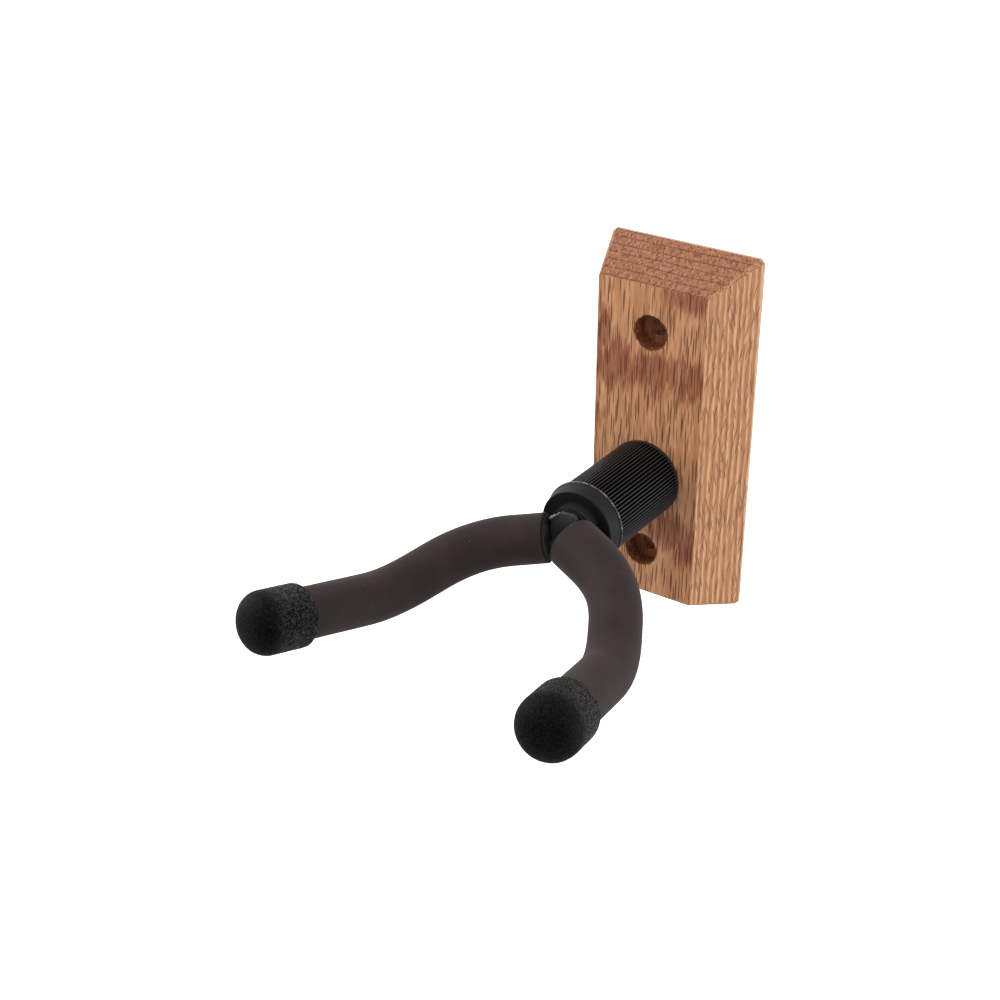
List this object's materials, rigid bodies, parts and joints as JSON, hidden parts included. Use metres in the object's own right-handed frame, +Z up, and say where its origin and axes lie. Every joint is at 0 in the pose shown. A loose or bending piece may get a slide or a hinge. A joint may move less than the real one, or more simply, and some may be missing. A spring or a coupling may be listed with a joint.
{
  "type": "wall guitar hanger",
  "caption": "Wall hanger for a stringed instrument: a bevelled hardwood block, a fluted collar and a swivelling yoke of bent rod with rubber sleeves and end caps.",
  "frame": {"origin": "centre of the block's back face, where it meets the wall", "axes": "+Y into the wall, the hanger stands out along -Y, +Z up, +X to the right for someone facing the wall"},
  "size_m": [0.1246, 0.1725, 0.1334],
  "materials": {
    "wood": "oiled oak, open vertical grain",
    "collar_plastic": "satin black moulding",
    "bushing_nylon": "dark grey satin nylon",
    "washer_plastic": "black plastic washer",
    "zinc_steel": "bright zinc plate",
    "insert_nylon": "blue nylon",
    "yoke_steel": "thin black paint over weld and rod",
    "sleeve_rubber": "matte dark brown rubber tube",
    "cap_rubber": "wrinkled black rubber"
  },
  "bodies": {
    "wall_mount": {"backplate": "wood", "collar_sleeve": "collar_plastic", "collar_end_cap": "collar_plastic", "front_bushing": "bushing_nylon", "rear_bushing": "bushing_nylon", "rear_washer": "zinc_steel", "spring_washer": "zinc_steel"},
    "yoke": {"pivot_shaft": "zinc_steel", "thrust_washer": "washer_plastic", "yoke_hub": "yoke_steel", "left_arm_rod": "yoke_steel", "right_arm_rod": "yoke_steel", "left_sleeve": "sleeve_rubber", "right_sleeve": "sleeve_rubber", "left_end_cap": "cap_rubber", "right_end_cap": "cap_rubber", "lock_nut": "zinc_steel", "lock_nut_insert": "insert_nylon"}
  },
  "joints": [
    {"name": "yoke_swivel", "type": "hinge", "parent": "wall_mount", "child": "yoke", "pos_m": [0, 0, -0.0126], "axis": [0, 1, 0], "continuous": true}
  ]
}
